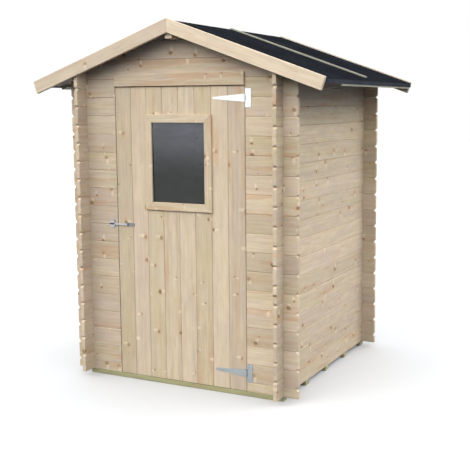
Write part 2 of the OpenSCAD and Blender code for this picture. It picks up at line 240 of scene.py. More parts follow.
# %% Node helper
class Nodes:
    """Node tree with short calls that add nodes and return their outputs."""

    def __init__(self, tree):
        self.tree = tree

    def put(self, socket, value):
        """Links the socket to an output, or sets it to a plain value."""
        if isinstance(value, bpy.types.NodeSocket):
            self.tree.links.new(value, socket)
        elif socket.type == "RGBA" and len(value) == 3:
            socket.default_value = (*value, 1)
        else:
            socket.default_value = value

    def add(self, kind, values, **settings):
        """New node with its settings, and its inputs filled by index or name."""
        node = self.tree.nodes.new(kind)
        for key, value in settings.items():
            setattr(node, key, value)
        for key, value in values.items():
            self.put(node.inputs[key], value)
        return node

    def attribute(self, name):
        return self.add("ShaderNodeAttribute", {}, attribute_name=name).outputs["Vector"]

    def object_place(self):
        return self.add("ShaderNodeTexCoord", {}).outputs["Object"]

    def parts(self, vector):
        return self.add("ShaderNodeSeparateXYZ", {0: vector}).outputs

    def math(self, operation, a, b=0.0, c=0.0):
        return self.add("ShaderNodeMath", {0: a, 1: b, 2: c}, operation=operation).outputs[0]

    def plus(self, a, b):
        return self.math("ADD", a, b)

    def minus(self, a, b):
        return self.math("SUBTRACT", a, b)

    def times(self, a, b):
        return self.math("MULTIPLY", a, b)

    def vector(self, operation, a, b=(0, 0, 0)):
        return self.add("ShaderNodeVectorMath", {0: a, 1: b}, operation=operation).outputs[0]

    def length(self, a):
        return self.add("ShaderNodeVectorMath", {0: a}, operation="LENGTH").outputs["Value"]

    def dot(self, a, b):
        return self.add("ShaderNodeVectorMath", {0: a, 1: b}, operation="DOT_PRODUCT").outputs["Value"]

    def noise(self, place, stretch, detail=2.0, rough=0.5):
        """Noise between 0 and 1 whose cells are 1 / stretch long in each direction."""
        scaled = self.vector("MULTIPLY", place, stretch)
        values = {"Vector": scaled, "Scale": 1.0, "Detail": detail, "Roughness": rough}
        return self.add("ShaderNodeTexNoise", values).outputs[0]

    def cells(self, place, stretch, **settings):
        """Voronoi cells that are 1 / stretch long in each direction."""
        scaled = self.vector("MULTIPLY", place, stretch)
        return scaled, self.add("ShaderNodeTexVoronoi", {"Vector": scaled, "Scale": 1.0}, **settings).outputs

    def ramp(self, value, low, high, to_low=0.0, to_high=1.0):
        """Smooth step from to_low to to_high as the value goes from low to high."""
        values = {0: value, 1: low, 2: high, 3: to_low, 4: to_high}
        return self.add("ShaderNodeMapRange", values, interpolation_type="SMOOTHSTEP").outputs[0]

    def blend(self, share, a, b, mode="MIX"):
        """Colour between a and b."""
        node = self.add("ShaderNodeMix", {0: share}, data_type="RGBA", blend_type=mode)
        self.put(node.inputs[6], a)
        self.put(node.inputs[7], b)
        return node.outputs[2]

    def bump(self, height, depth, strength=1.0):
        """Bumps of the given depth in metres from a height between 0 and 1."""
        values = {"Strength": strength, "Distance": depth, "Height": height}
        return self.add("ShaderNodeBump", values).outputs[0]

    def seen(self):
        """1 for a ray that shows a thing, straight or by way of metal or glass, and 0 for one that lights."""
        rays = self.add("ShaderNodeLightPath", {}).outputs
        shown = self.math("MAXIMUM", rays["Is Camera Ray"], rays["Is Glossy Ray"])
        return self.math("MAXIMUM", shown, rays["Is Transmission Ray"])


class Finish(Nodes):
    """Material with a Principled shader."""

    def __init__(self, name):
        self.material = bpy.data.materials.new(name)
        self.material.use_nodes = True
        super().__init__(self.material.node_tree)

    def set(self, **values):
        """Inputs of the Principled shader, by their names with underscores for spaces."""
        for key, value in values.items():
            self.put(self.tree.nodes["Principled BSDF"].inputs[key.replace("_", " ")], value)


print("node helper ready")

# %% [markdown]
# ## Spruce
# Fresh spruce is cream to pinkish tan. Its year rings are circles round the pith of the log, and a board
# cuts through them, so the figure is the distance from a pith line that lies somewhere behind the board,
# read from the board's own grain coordinates. Small brown knots sit in pale halos, bend the rings and trail
# a warm streak along the grain, and resin flushes some boards red. A picture of wood would repeat from
# board to board. Worked out in nodes, each board is its own. The same finish with other colours makes
# planed and treated wood, and darker copies that are painted shade.

# %% Knots
KNOT_CELL = (0.155, 0.105)
KNOT_RADIUS = (0.0035, 0.0095)


def shade(colour, *shares):
    """Colour with each channel taken to a share of itself."""
    return tuple(min(1.0, c * k) for c, k in zip(colour, shares))


def knots(f, place, share):
    """Knots over a share of the cells: masks of the core, rim, bend of the rings, blush, halo and streak.

    near is the distance to the cell's own point over the knot's radius, which is drawn for each cell. The
    pale halo lies to one side across the grain, where the branch ran, and the streak is the knot drawn out
    by the grain.
    """
    stretch = (1 / KNOT_CELL[0], 1 / KNOT_CELL[1], 0)
    scaled, cell = f.cells(place, stretch, voronoi_dimensions="2D")
    away = f.vector("MULTIPLY", f.vector("SUBTRACT", scaled, cell["Position"]), (*KNOT_CELL, 0))
    chance, size, tone = f.parts(cell["Color"])
    knotty = f.math("LESS_THAN", chance, share)
    ragged = f.ramp(f.noise(place, (75, 75, 20), 2.0), 0.2, 0.8, 0.86, 1.16)
    radius = f.times(f.ramp(size, 0.1, 0.95, *KNOT_RADIUS), ragged)
    radius = f.math("MULTIPLY_ADD", radius, knotty, 0.0001)
    branch = f.add("ShaderNodeCombineXYZ", {
        0: f.ramp(size, 0.3, 0.7, -0.006, 0.006),
        1: f.ramp(tone, 0.45, 0.55, -0.017, 0.017),
    }).outputs[0]
    beside = f.vector("MULTIPLY", f.vector("SUBTRACT", away, branch), (1, 0.42, 0))
    near = f.math("DIVIDE", f.length(f.vector("MULTIPLY", away, (0.8, 1, 0))), radius)
    drawn = f.math("DIVIDE", f.length(f.vector("MULTIPLY", away, (0.1, 1, 0))), radius)
    ripple = f.ramp(f.math("SINE", f.times(near, 17.0)), -1, 1, 0.8, 1.0)
    depth = f.times(f.ramp(tone, 0, 1, 0.55, 1.0), ripple)
    core = f.times(f.ramp(near, 0.8, 1.2, 1, 0), depth)
    rim = f.times(f.ramp(f.math("ABSOLUTE", f.minus(near, 0.98)), 0, 0.22, 1, 0), tone)
    halo = f.ramp(f.math("DIVIDE", f.length(beside), radius), 0.3, 1.7, 1, 0)
    streak = f.times(f.ramp(drawn, 0.6, 3.2, 1, 0), f.ramp(chance, 0, share, 1, 0.1))
    blush = f.times(f.ramp(near, 0.9, 3.2, 1, 0), f.ramp(size, 0.2, 0.8, 0, 1))
    bend = f.ramp(near, 1, 4.5, 1, 0)
    return core, rim, bend, blush, halo, streak


print("knots about", KNOT_CELL[0], "m apart")

# %% Year rings
RING_PITCH = 0.0043
PITH_ACROSS = (-0.09, 0.09)
PITH_BEHIND = (0.02, 0.12)


def year_rings(f, grain, draws, place, bend):
    """Late wood between 0 and 1: the cube of the fractional part of distance / RING_PITCH.

    The distance is taken from the pith line behind the board, wanders slowly along it and bends round knots.
    """
    along, across, through = f.parts(grain)
    beside = f.minus(across, f.ramp(draws[0], 0, 1, *PITH_ACROSS))
    before = f.plus(through, f.ramp(draws[1], 0, 1, *PITH_BEHIND))
    distance = f.math("SQRT", f.plus(f.times(beside, beside), f.times(before, before)))
    distance = f.math("MULTIPLY_ADD", f.noise(place, (1.1, 6, 6), 2.0), 0.035, distance)
    distance = f.math("MULTIPLY_ADD", along, f.ramp(draws[2], 0, 1, -0.008, 0.008), distance)
    distance = f.math("MULTIPLY_ADD", bend, 0.008, distance)
    return f.math("POWER", f.math("FRACT", f.math("DIVIDE", distance, RING_PITCH)), 3.0)


print(f"rings {1000 * RING_PITCH:.1f} mm apart")


# %% Wood finish
def wood_finish(name, slot, knot_share, value_low, pale, warm, rosy, green):
    """Wood finish: hues that drift along each board, darker streaks and late wood, resin stains and knots.

    The hue goes from rosy over pale to green with a draw for the board and a slow noise along it. Over it
    lie layers, each with its strength and colour. The darkest board has value_low of the colour.
    """
    f = Finish(name)
    grain, board = f.attribute("grain"), f.attribute("board")
    draws = f.parts(board)
    place = f.vector("ADD", grain, f.vector("MULTIPLY", board, (37, 23, 11)))
    share = f.ramp(draws[2], 0.1, 0.9, 1.25 * knot_share, 0.5 * knot_share)
    core, rim, bend, blush, halo, trail = knots(f, place, share)
    rings = year_rings(f, grain, draws, place, bend)
    drift = f.ramp(f.noise(place, (4, 17, 17), 3.0, 0.6), 0.25, 0.75, -0.45, 0.45)
    streak = f.ramp(f.noise(place, (1.5, 55, 55), 5.0, 0.7), 0.36, 0.68)
    stain = f.ramp(f.noise(place, (1.8, 24, 24), 4.0, 0.65), 0.5, 0.64)
    cloud = f.noise(place, (9, 30, 30), 3.0, 0.6)
    fibre = f.noise(place, (16, 800, 800), 2.0)
    tone = f.plus(draws[0], drift)
    hue = f.blend(f.ramp(tone, 0, 0.5), rosy, pale)
    colour = f.blend(f.ramp(tone, 0.5, 1), hue, green)
    layers = (
        (f.times(streak, 0.5), warm),
        (f.times(rings, 0.3), shade(warm, 0.84, 0.78, 0.7)),
        (f.times(stain, f.ramp(draws[1], 0.3, 0.95, 0.1, 0.65)), shade(warm, 1.12, 0.91, 0.84)),
        (f.times(trail, f.ramp(stain, 0, 1, 0.3, 0.6)), shade(warm, 1.15, 0.95, 0.84)),
        (f.times(blush, 0.6), shade(warm, 1.16, 0.95, 0.84)),
        (f.times(halo, 0.75), shade(pale, 1.2, 1.2, 1.2)),
        (core, shade(warm, 0.45, 0.37, 0.33)),
        (f.times(rim, 0.75), shade(warm, 0.27, 0.23, 0.2)),
    )
    for strength, layer in layers:
        colour = f.blend(strength, colour, layer)
    value = f.times(f.ramp(draws[2], 0, 1, value_low, 1.04), f.ramp(fibre, 0.25, 0.75, 0.96, 1.03))
    value = f.times(value, f.ramp(cloud, 0.25, 0.75, 0.93, 1.05))
    f.set(Base_Color=f.blend(1.0, colour, value, "MULTIPLY"))
    f.set(Roughness=f.ramp(rings, 0, 1, 0.66, 0.5), Specular_IOR_Level=0.3)
    height = f.math("MULTIPLY_ADD", fibre, 0.6, f.times(rings, 0.4))
    f.set(Normal=f.bump(height, 0.0006, 0.5))
    return {"finish": f.material, "slot": slot}


# Rows: name, slot, share of knots, value of the darkest board, and the pale, warm, rosy and green hues.
WOODS = (
    ("spruce_plank", "spruce", 0.62, 0.87,
     (0.642, 0.527, 0.374), (0.49, 0.374, 0.24), (0.602, 0.484, 0.374), (0.62, 0.513, 0.325)),
    ("planed_board", "planed_spruce", 0.3, 0.89,
     (0.695, 0.572, 0.418), (0.565, 0.43, 0.285), (0.67, 0.545, 0.415), (0.665, 0.56, 0.395)),
    ("pale_lath", "planed_spruce", 0.2, 0.94,
     (0.575, 0.565, 0.435), (0.505, 0.485, 0.35), (0.55, 0.52, 0.41), (0.495, 0.52, 0.375)),
    # Battens: a darker copy of the lath above, painted shade that tones down the strong light from above.
    ("shade_darkened_lath", "planed_spruce", 0.2, 0.94,
     (0.30, 0.292, 0.222), (0.26, 0.248, 0.18), (0.285, 0.268, 0.21), (0.26, 0.268, 0.195)),
    # Rear barge boards: darker, greyer planed wood, painted shade.
    ("shade_darkened_board", "planed_spruce", 0.3, 0.92,
     (0.50, 0.43, 0.34), (0.42, 0.34, 0.25), (0.48, 0.41, 0.335), (0.48, 0.42, 0.315)),
    # Roof boards: a darker copy of the spruce, painted shade under the eaves.
    ("roof_board", "spruce", 0.6, 0.85,
     (0.31, 0.275, 0.235), (0.235, 0.20, 0.165), (0.285, 0.25, 0.215), (0.285, 0.265, 0.21)),
    ("treated_bearer", "treated_wood", 0.4, 0.88,
     (0.415, 0.395, 0.21), (0.31, 0.295, 0.14), (0.37, 0.335, 0.185), (0.345, 0.36, 0.175)),
)
woods = [wood_finish(*row) for row in WOODS]
spruce, planed, lath, shade_darkened_batten_wood, shade_darkened_barge_wood, shade_darkened_roof_wood, treated = woods
print("wood finishes:", *(wood["finish"].name for wood in woods))

# %% [markdown]
# ## Plank walls
# The walls are the shed's character. Planks run on past each corner and are notched a quarter of their
# height, top and bottom, so that the side walls sit half a course off the front and rear walls and lock
# with them. Each plank is one loft with extra stations: the chamfered end, the tail, the notch, and the
# plain middle.

# %% Stations of a notched plank
END_CHAMFER = 0.011
JOINT_EASE = 0.003
JOINT_GAP = 0.0004
NOTCH_PLAY = 0.00015
quarter = plank_h / 4
tail = half_len - wall_out
notch_start, notch_end = tail - NOTCH_PLAY, tail + plank_t + NOTCH_PLAY
# Rows: distance from the end, share of the chamfer, share of the notch, and how far faces are drawn in.
CROSSING_END = np.array([
    [0, END_CHAMFER, notch_start, notch_start, notch_end, notch_end],
    [1, 0, 0, 0, 0, 0],
    [0, 0, 0, 1, 1, 0],
    [END_EASE, 0, 0, 0, 0, 0],
])
PLAIN_END = np.array([[0, END_EASE], [0, 0], [0, 0], [END_EASE, 0]])


def wall_planks(origin, along, starts, ends, low, high, chamfers, notches, crossing, lean=0.0, middle=None):
    """Wall planks of one set, from starts to ends along the wall and from low to high.

    chamfers and notches hold a depth below and above for each plank. crossing says which ends run past a
    corner: there six stations shape the end, and elsewhere two ease it.
    """
    shapes = []
    for far, crosses in zip((False, True), crossing):
        reach, *shares = CROSSING_END if crosses else PLAIN_END
        stations = np.reshape(ends, (-1, 1)) - reach if far else np.reshape(starts, (-1, 1)) + reach
        parts = [np.broadcast_to(a, (len(low), len(reach))) for a in (stations, *shares)]
        shapes.append([p[:, ::-1] if far else p for p in parts])
    stations, chamfer, notch, thin = (np.concatenate(pair, 1) for pair in zip(*shapes))
    chamfers, notches = np.array(chamfers), np.array(notches)
    lower = low[:, None] + JOINT_GAP / 2 + chamfer * chamfers[0][:, None] + notch * notches[0][:, None]
    upper = high[:, None] - JOINT_GAP / 2 - chamfer * chamfers[1][:, None] - notch * notches[1][:, None]
    return board_rings(origin, along, ALONG_Z, stations, lower, upper, plank_t, JOINT_EASE,
                       lean=lean * (1 - notch), thin=thin, middle=middle)


print(f"plank ends {tail:.3f} m past the corner, notched {quarter:.4f} m")

# %% Side walls
SIDES = ((-1, "left"), (1, "right"))
SIDE_COURSES = 17
SIDE_PLANKS = (0.6, 1, 1)
side_edges = wall_z + plank_h * np.arange(SIDE_COURSES + 1)
is_top = np.arange(SIDE_COURSES) == SIDE_COURSES - 1
chamfer_low = np.where(np.arange(SIDE_COURSES) > 0, END_CHAMFER, 0)
chamfer_high = np.where(is_top, 0, END_CHAMFER)

for side, name in SIDES:
    near_face = -wall_out if side < 0 else wall_in
    high_edges = np.where(is_top, roof_under(near_face), side_edges[1:])
    notch_high = high_edges - side_edges[1:] + quarter
    sets = []
    for chosen, lean in ((~is_top, 0.0), (is_top, -side * slope)):
        sets.append(wall_planks(
            (near_face, 0, 0), ALONG_Y, -half_len, half_len, side_edges[:-1][chosen], high_edges[chosen],
            (chamfer_low[chosen], chamfer_high[chosen]), (np.full(chosen.sum(), quarter), notch_high[chosen]),
            (True, True), lean))
    wood_piece(f"{name}_wall_planks", sets, spruce, "shed", f"{name}_wall", most=SIDE_PLANKS)

# %% [markdown]
# ## Front and rear walls
# These start with half a plank, so that their joints fall halfway between those of the side walls. Above
# the eaves the planks end on the slope of the roof: each point of a plank is simply drawn in to the roof
# line at its height. The top plank is in two, either side of the ridge beam. The planks left of the door
# come from the darker ones, painted shade beside the left corner, and those of the gable from the rosier
# ones, by lower limits on their draws.


# %% Planks across the shed
def under_roof(rings_and_grain):
    """Draws every point in to the roof line: at its height it lies no further out than the roof reaches."""
    points, grain = rings_and_grain
    reach = np.maximum(roof_reach(points[..., 2]) - JOINT_GAP, 0)
    points[..., 0] = np.clip(points[..., 0], -reach, reach)
    return points, np.concatenate([points[..., :1], grain[..., 1:]], -1)


def cross_courses(first, last):
    """Edges below and above the courses first to last of a cross wall: half a plank, then whole planks."""
    seams = np.concatenate([[wall_z], wall_z + plank_h * (0.5 + np.arange(last))])
    return seams[first:last], seams[first + 1:last + 1]


def cross_wall(face, start, end, first, last, crossing, middle=None, notch_above=quarter):
    """Planks of a front or rear wall between two places, for the courses first to last."""
    low, high = cross_courses(first, last)
    off_ground = np.arange(first, last) > 0
    chamfers = np.where(off_ground, END_CHAMFER, 0), np.full(len(low), END_CHAMFER)
    notches = np.where(off_ground, quarter, 0), np.full(len(low), notch_above)
    return wall_planks((0, face, 0), ALONG_X, start, end, low, high, chamfers, notches, crossing,
                       middle=middle)


STUB_PLANKS = 17
print(f"{STUB_PLANKS} courses up to {cross_courses(0, STUB_PLANKS)[1][-1]:.3f} m")

# %% Front and rear walls
BEAM_PLAY = 0.0003
# Planks left of the door draw darker: painted shade beside the left corner.
LEFT_PLANKS_PAINTED_SHADE = (0.6, 1, 0.5)
GABLE_PLANKS = (0.3, 0.9, 0.4)
eave_break = roof_under(half_len)
beam_half = corners("ridge_beam")[1][0] + BEAM_PLAY


def gable(face):
    """Planks over the side walls: the first crosses them, the second is plain, and two flank the ridge beam.

    The roof cuts the first where its upper notch would be, so it has only the lower one.
    """
    second = STUB_PLANKS + 1
    locked = cross_wall(face, -half_len, half_len, STUB_PLANKS, second, (True, True), eave_break, 0)
    plain = cross_wall(face, -half_len, half_len, second, second + 1, (False, False))
    low = np.array([cross_courses(second + 1, second + 2)[0][0]] * 2)
    none = np.zeros(2), np.zeros(2)
    top = wall_planks((0, face, 0), ALONG_X, [-half_len, beam_half], [-beam_half, half_len], low,
                      np.full(2, roof_under(beam_half)), none, none, (False, False))
    return [under_roof(planks) for planks in (locked, plain, top)]


front_face, rear_face = -wall_in, wall_out
left_stub = cross_wall(front_face, -half_len, -open_half, 0, STUB_PLANKS, (True, False))
right_stub = cross_wall(front_face, open_half, half_len, 0, STUB_PLANKS, (False, True))
wood_piece("front_left_planks", [left_stub], spruce, "shed", "front_wall_left", most=LEFT_PLANKS_PAINTED_SHADE)
wood_piece("front_right_planks", [right_stub], spruce, "shed", "front_wall_right")
wood_piece("front_gable_planks", gable(front_face), spruce, "shed", "front_gable", most=GABLE_PLANKS)
rear = cross_wall(rear_face, -half_len, half_len, 0, STUB_PLANKS, (True, True))
wood_piece("rear_wall_planks", [rear, *gable(rear_face)], spruce, "shed", "rear_wall")

# %% [markdown]
# ## Plain boards
# Bearers, posts, ledges and trims are sawn lengths with eased edges. Their box in the frame says where they
# are, so one helper turns the box of a node into a board that runs along its longest side.


# %% Boards from the boxes of nodes
def box_board(node, along, across, ease):
    """One plain board that fills a node's box, with its grain along the given axis."""
    low, high = corners(node)
    along, across = np.array(along, float), np.array(across, float)
    through = np.cross(along, across)
    length, width, depth = (np.sort([low @ axis, high @ axis]) for axis in (along, across, through))
    return plain_boards(depth[0] * through, along, across, *length, *width, depth[1] - depth[0], ease)


BEARER_EASE = 0.0025
POST_EASE = 0.002
RAIL_EASE = 0.0015
LEDGE_EASE = 0.004
TRIM_DRAWS = [(0.45, 0.95, 0.35)]
for node in ("front_bearer", "second_bearer", "middle_bearer", "fourth_bearer", "rear_bearer"):
    wood_piece(f"{node}_timber", [box_board(node, ALONG_X, ALONG_Y, BEARER_EASE)], treated, "shed", node)
for node in ("left_door_post", "right_door_post"):
    wood_piece(f"{node}_timber", [box_board(node, ALONG_Z, ALONG_X, POST_EASE)], planed, "shed", node)
rail = box_board("door_head", ALONG_X, ALONG_Z, RAIL_EASE)
wood_piece("door_head_rail", [rail], spruce, "shed", "door_head")
trim = box_board("door_head_trim", ALONG_X, ALONG_Z, POST_EASE)
wood_piece("door_head_board", [trim], spruce, "shed", "door_head_trim", draws=TRIM_DRAWS)
for node in ("top_ledge", "middle_ledge", "bottom_ledge"):
    wood_piece(f"{node}_board", [box_board(node, ALONG_X, ALONG_Z, LEDGE_EASE)], planed, "door", node)

# %% [markdown]
# ## Floor and door leaf
# Both are rows of boards with a small V at each joint. A row is one set: the boards differ only in where
# they lie across. The four middle boards of the leaf are cut through by the window, and the piece below it
# carries on the grain of the piece above, so both get the same draws. A joiner picks the boards of a door
# by eye, so their hue, stains and lightness are chosen here and not left to chance.


# %% Floor boards
def board_row(origin, along, across, start, end, edges, thick, ease):
    """Row of boards between neighbouring edges, all from start to end, with a hairline at each joint."""
    low, high = edges[:-1, None] + JOINT_GAP / 2, edges[1:, None] - JOINT_GAP / 2
    return plain_boards(origin, along, across, start, end, low, high, thick, ease, END_EASE)


FLOOR_COUNT = 13
FLOOR_EASE = 0.0012
floor_low, floor_high = corners("floor_boards")
floor_edges = np.linspace(floor_low[0], floor_high[0], FLOOR_COUNT + 1)
floor_row = board_row((0, 0, floor_high[2]), ALONG_Y, ALONG_X, floor_low[1], floor_high[1], floor_edges,
                      floor_high[2] - floor_low[2], FLOOR_EASE)
wood_piece("floor_board_row", [floor_row], spruce, "shed", "floor_boards")

# %% Boards of the leaf
LEAF_COUNT = 8
LEAF_SPREAD = 0.003
leaf_low, leaf_high = corners("door_boards_left")[0], corners("door_boards_right")[1]
leaf_edges = np.linspace(leaf_low[0] - LEAF_SPREAD, leaf_high[0] + LEAF_SPREAD, LEAF_COUNT + 1)
LEAF_DRAWS = (
    (0.62, 0.30, 0.12), (0.25, 0.50, 0.72), (0.75, 0.35, 0.45), (0.55, 0.95, 0.55),
    (0.40, 0.25, 0.70), (0.70, 0.80, 0.40), (0.42, 0.10, 0.99), (0.20, 0.65, 0.35),
)
for part, first, last in (("left", 0, 2), ("right", 6, 8), ("top", 2, 6), ("bottom", 2, 6)):
    low, high = corners(f"door_boards_{part}")
    foot = low[2] if part == "top" else low[2] - LEAF_SPREAD
    head = high[2] if part == "bottom" else high[2] + LEAF_SPREAD
    row = board_row((0, leaf_low[1], 0), ALONG_Z, ALONG_X, foot, head, leaf_edges[first:last + 1],
                    leaf_high[1] - leaf_low[1], JOINT_EASE)
    wood_piece(f"leaf_boards_{part}", [row], spruce, "door", f"door_boards_{part}",
               draws=LEAF_DRAWS[first:last])

# %% [markdown]
# ## Window
# Four flat members with mitred ends frame the glass outside, four more do so inside, and a tongue between
# them holds the pane. A mitre is a slant: the end of a member moves along by as much as the point lies
# outward.

# %% Window frame and pane
pane_low, pane_high = corners("window_pane")
frame_low, frame_high = corners("window_head")
window_z = (pane_low[2] + pane_high[2]) / 2
frame_half = np.array([frame_high[0], frame_high[2] - window_z])
FRAME_WIDTH = 0.046
FRAME_EASE = 0.002
TONGUE_EASE = 0.0005
glass_half = frame_half - FRAME_WIDTH
pane_half = np.array([pane_high[0], pane_high[2] - window_z])
frame_t = leaf_low[1] - frame_low[1]


def mitred(turn, inner, outer, near, far, ease):
    """Mitred member on one side of the window: turned about the window's middle, between two depths in Y.

    Its ends lie at plus and minus its own distance outward beyond the corner of the glass.
    """
    along = np.array([math.cos(turn), 0, math.sin(turn)])
    across = np.array([-math.sin(turn), 0, math.cos(turn)])
    flip = 0 if abs(math.cos(turn)) > 0.5 else 1
    length, rise = inner[flip], inner[1 - flip]
    return plain_boards((0, far, window_z), along, across, rise - length, length - rise,
                        rise, outer[1 - flip], far - near, ease, slant=np.array([-1, -1, 1, 1]))


for part, turns in (("head", 0), ("left_stile", 1), ("sill", 2), ("right_stile", 3)):
    turn = turns * math.pi / 2
    outside = mitred(turn, glass_half, frame_half, leaf_low[1] - frame_t, leaf_low[1], FRAME_EASE)
    tongue = mitred(turn, glass_half, pane_half, pane_high[1], leaf_high[1], TONGUE_EASE)
    inside = mitred(turn, glass_half, frame_half, leaf_high[1], leaf_high[1] + frame_t, FRAME_EASE)
    own_draws = [(0.55, 0.4 + 0.15 * turns, 0.6)]
    wood_piece(f"window_{part}_members", [outside, tongue, inside], spruce, "door", f"window_{part}",
               draws=own_draws)

# %% [markdown]
# ## Roof boards, eave strips, barge boards and battens
# On each slope the boards run from gable to gable, and the joints show from below under the overhang. A
# slope has its own axes: down the slope, square to it, and along the ridge. Everything on it is a board in
# those axes. The roof boards are darker wood as painted shade under the eaves, the rear barge boards are
# darker and greyer as painted shade, and the battens on the felt are a darker copy of the eave strips' lath,
# painted shade that tones down the strong light from above.


# %% Axes of a slope
def slope_axes(side):
    """Directions of one slope: down it, and square out of it."""
    down = np.array([side * math.cos(pitch), 0, -math.sin(pitch)])
    out = np.array([side * math.sin(pitch), 0, math.cos(pitch)])
    return down, out


ridge_point = np.array([0, 0, ridge_top])
eave_reach = corners("right_roof_boards")[1][0]
deck_top = (corners("right_roof_boards")[1][2] - ridge_top) * math.cos(pitch)
DECK_T = 0.016
DECK_EASE = 0.0025
STRIP_EASE = 0.0015
ROOF_COUNT = 11
roof_len = eave_reach / math.cos(pitch)
print(f"slope {roof_len:.3f} m long, boards up to {deck_top:.4f} m above the roof line")


# %% Boards of the roof
def along_ridge(side, ends, edges, base, thick, ease):
    """Boards along the ridge on one slope between two ends, side by side down it, from base outward."""
    down, out = slope_axes(side)
    start, end = sorted(-side * np.array(ends))
    return board_row(ridge_point + base * out, (0, -side, 0), down, start, end, edges, thick, ease)


for side, name in SIDES:
    edges = np.linspace(0, roof_len - deck_top * slope, ROOF_COUNT + 1)
    row = along_ridge(side, (-half_len, half_len), edges, deck_top - DECK_T, DECK_T, DECK_EASE)
    # The roof boards take the darker wood: painted shade under the eaves.
    wood_piece(f"{name}_roof_board_row", [row], shade_darkened_roof_wood, "shed", f"{name}_roof_boards")
    strip_low, strip_high = corners(f"{name}_eave_strip")
    width = strip_high[0] - strip_low[0]
    thick = (strip_high[2] - strip_low[2] - width * slope) * math.cos(pitch)
    edges = np.array([roof_len - width / math.cos(pitch), roof_len])
    strip = along_ridge(side, (strip_low[1], strip_high[1]), edges, -thick, thick, STRIP_EASE)
    wood_piece(f"{name}_eave_strip_board", [strip], lath, "shed", f"{name}_eave_strip")


# %% Barge boards and battens
def down_slope(node, side, height, ease):
    """Board down one slope for a node, of the given height square to the slope, mitred at the ridge.

    Its top is the node's top over the ridge, and its lower end stays inside the node's reach.
    """
    down, out = slope_axes(side)
    low, high = corners(node)
    top = (high[2] - ridge_top) * math.cos(pitch)
    reach = max(-low[0], high[0]) / math.cos(pitch) - top * slope
    face = ridge_point + np.array([0, low[1] if side < 0 else high[1], 0])
    return plain_boards(face, down, out, 0, reach, top - height, top, high[1] - low[1], ease,
                        slant=np.array([-slope, -slope, 0, 0]))


BARGE_H = 0.073
BARGE_EASE = 0.002
# The left front barge board draws dark, painted shade on the left side; the right one draws light.
BARGE_DRAWS_LEFT_PAINTED_SHADE = {"left": [(0.35, 0.4, 0.1)], "right": [(0.5, 0.5, 0.9)]}
BATTEN_T = 0.008
BATTEN_EASE = 0.001
for side, name in SIDES:
    for place in ("front", "rear"):
        board = down_slope(f"{place}_{name}_barge", side, BARGE_H, BARGE_EASE)
        # The rear barge boards take the darker, greyer wood: painted shade.
        wood, draws = (planed, BARGE_DRAWS_LEFT_PAINTED_SHADE[name]) if place == "front" else (shade_darkened_barge_wood, None)
        wood_piece(f"{place}_{name}_barge_board", [board], wood, "shed", f"{place}_{name}_barge", draws=draws)
    # The battens take the darker lath: painted shade against the light from above.
    batten = down_slope(f"{name}_roof_batten", side, BATTEN_T, BATTEN_EASE)
    wood_piece(f"{name}_batten_strip", [batten], shade_darkened_batten_wood, "shed", f"{name}_roof_batten")

# %% [markdown]
# ## Ridge beam
# The beam under the ridge is planed to the two slopes on top, so its outline has five corners and is no
# board of the kind above. It is the same idea with another outline: drawn once, and carried from the back
# to the front.


# %% Beam under the ridge
def carry_along_y(outlines, places):
    """Rings of closed outlines in X and Z, anticlockwise seen from the front, one at each place in Y."""
    y = np.broadcast_to(places[:, None], outlines.shape[:2])
    return np.stack([outlines[..., 0], y, outlines[..., 1]], -1)[None]


beam_low, beam_high = corners("ridge_beam")
beam_w = beam_high[0]
BEAM_EASE = 0.003
BEAM_END = 0.0015
BEAM_SHRINK = 0.04
shoulder = roof_under(beam_w)
beam_outline = np.array([
    [BEAM_EASE - beam_w, beam_low[2]], [beam_w - BEAM_EASE, beam_low[2]], [beam_w, beam_low[2] + BEAM_EASE],
    [beam_w, shoulder], [0, ridge_top], [-beam_w, shoulder], [-beam_w, beam_low[2] + BEAM_EASE],
])
beam_places = np.array([half_len, half_len - BEAM_END, BEAM_END - half_len, -half_len])
beam_middle = beam_outline.mean(0)
beam_size = 1 - np.array([BEAM_SHRINK, 0, 0, BEAM_SHRINK])[:, None, None]
beam_rings = carry_along_y(beam_middle + (beam_outline - beam_middle) * beam_size, beam_places)
beam_grain = np.stack([beam_rings[..., 1], beam_rings[..., 2] - shoulder, beam_rings[..., 0]], -1)
wood_piece("ridge_beam_timber", [(beam_rings, beam_grain)], planed, "shed", "ridge_beam")

# %% [markdown]
# ## Roofing felt
# Bitumen felt is a thick, limp sheet with mineral grit on top. It lies on the boards with faint waves, and
# its lower edge is turned down over the eave and nailed, so it bends in a tight round there. A flat slab
# would look like painted board. Here a path from ridge to eave, with an arc at the fold, is thickened and
# carried along the ridge.

# %% Felt finish
GRIT_PER_M = 520
FOLD_Z = roof_under(eave_reach) + deck_top / math.cos(pitch)
felt = Finish("mineral_felt")
felt_place = felt.object_place()
grit = felt.cells(felt_place, (GRIT_PER_M,) * 3)[1]
grit_tone = felt.parts(grit["Color"])[0]
patches = felt.noise(felt_place, (6, 6, 6), 4.0)
felt_colour = felt.blend(grit_tone, (0.0065, 0.0073, 0.0093), (0.0158, 0.0177, 0.0218))
felt_colour = felt.blend(felt.ramp(grit_tone, 0.9, 0.97), felt_colour, (0.036, 0.039, 0.045))
# Painted highlight: the felt turned down over the eave is lighter below the fold.
flap_highlight = felt.ramp(felt.parts(felt_place)[2], FOLD_Z - 0.004, FOLD_Z + 0.003, 0.75, 0)
felt_colour = felt.blend(flap_highlight, felt_colour, (0.056, 0.058, 0.068))
patch_value = felt.ramp(patches, 0.3, 0.7, 0.8, 1.15)
felt.set(Base_Color=felt.blend(1.0, felt_colour, patch_value, "MULTIPLY"))
felt.set(Roughness=felt.ramp(grit_tone, 0, 1, 0.72, 0.95), Specular_IOR_Level=0.0)
felt.set(Normal=felt.bump(grit["Distance"], 0.0012, 0.7))
print("felt finish ready")

